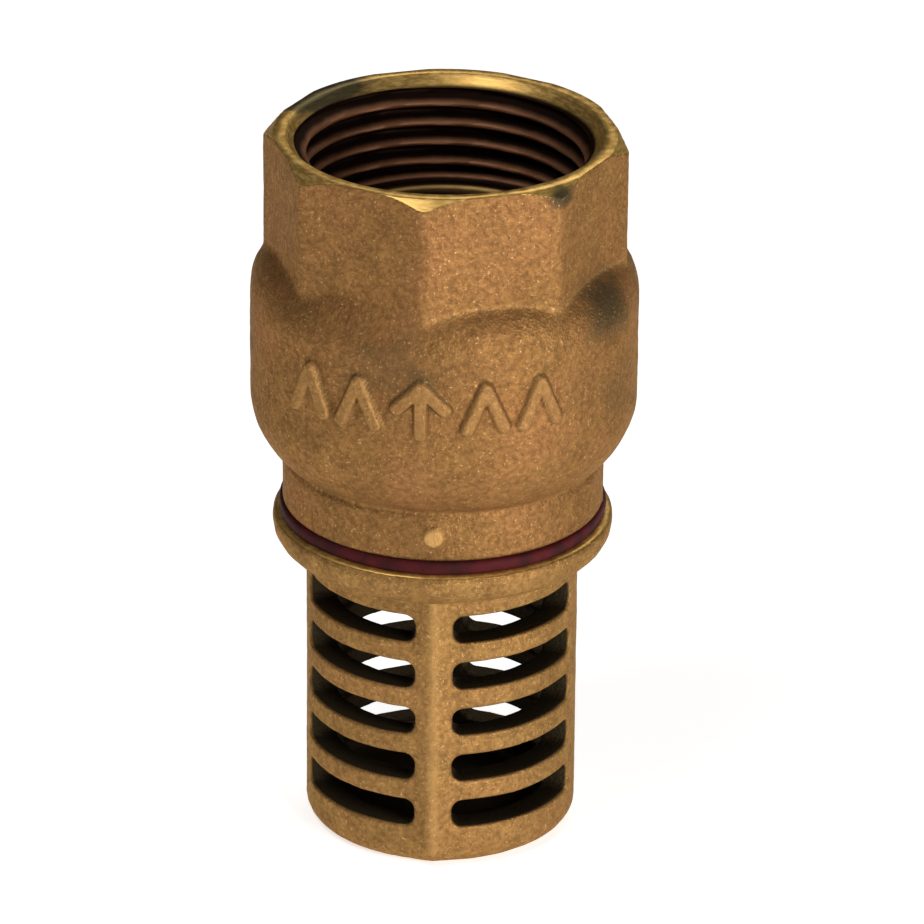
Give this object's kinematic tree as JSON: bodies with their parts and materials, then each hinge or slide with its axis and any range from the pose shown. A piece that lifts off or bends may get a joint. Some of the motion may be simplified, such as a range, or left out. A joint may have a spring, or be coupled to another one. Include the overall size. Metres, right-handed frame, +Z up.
{
  "type": "foot valve",
  "caption": "Upright cast bronze foot valve: octagonal threaded outlet, round chamber with a sprung poppet, and a screwed-on slotted strainer basket below a flange.",
  "frame": {"origin": "middle of the strainer's flat underside", "axes": "+Z up along the flow axis towards the outlet thread, -Y the front, which has the cast flow arrow and one of the strainer's ribs"},
  "size_m": [0.0426, 0.0426, 0.0818],
  "materials": {
    "cast_body": "sand-cast, dull, grainy, with bright machined rim",
    "cast_strainer": "sand-cast, slightly brighter than the body",
    "gasket": "matt dark red fibre",
    "turned_brass": "turned, satin",
    "bush_plastic": "matt off-white",
    "spring_wire": "drawn wire",
    "stainless": "turned or pressed, satin",
    "seal_rubber": "matt black"
  },
  "bodies": {
    "housing": {"valve_body": "cast_body", "strainer": "cast_strainer", "body_gasket": "gasket", "guide_spider": "turned_brass", "guide_bush": "bush_plastic", "closing_spring": "spring_wire"},
    "lift_washer": {"spring_washer": "stainless"},
    "poppet": {"poppet_stem": "stainless", "poppet_disc": "turned_brass", "disc_seal": "seal_rubber", "seal_washer": "stainless", "lock_washer": "stainless", "retaining_nut": "stainless"}
  },
  "joints": [
    {"name": "poppet_lift", "type": "slide", "parent": "housing", "child": "lift_washer", "axis": [0, 0, 1], "range_m": [0, 0.00625], "stiffness_N_per_m": 340, "springref_m": -0.004, "deforming": ["closing_spring"]},
    {"name": "poppet_spin", "type": "hinge", "parent": "lift_washer", "child": "poppet", "pos_m": [0, 0, 0.0498], "axis": [0, 0, 1], "continuous": true}
  ]
}
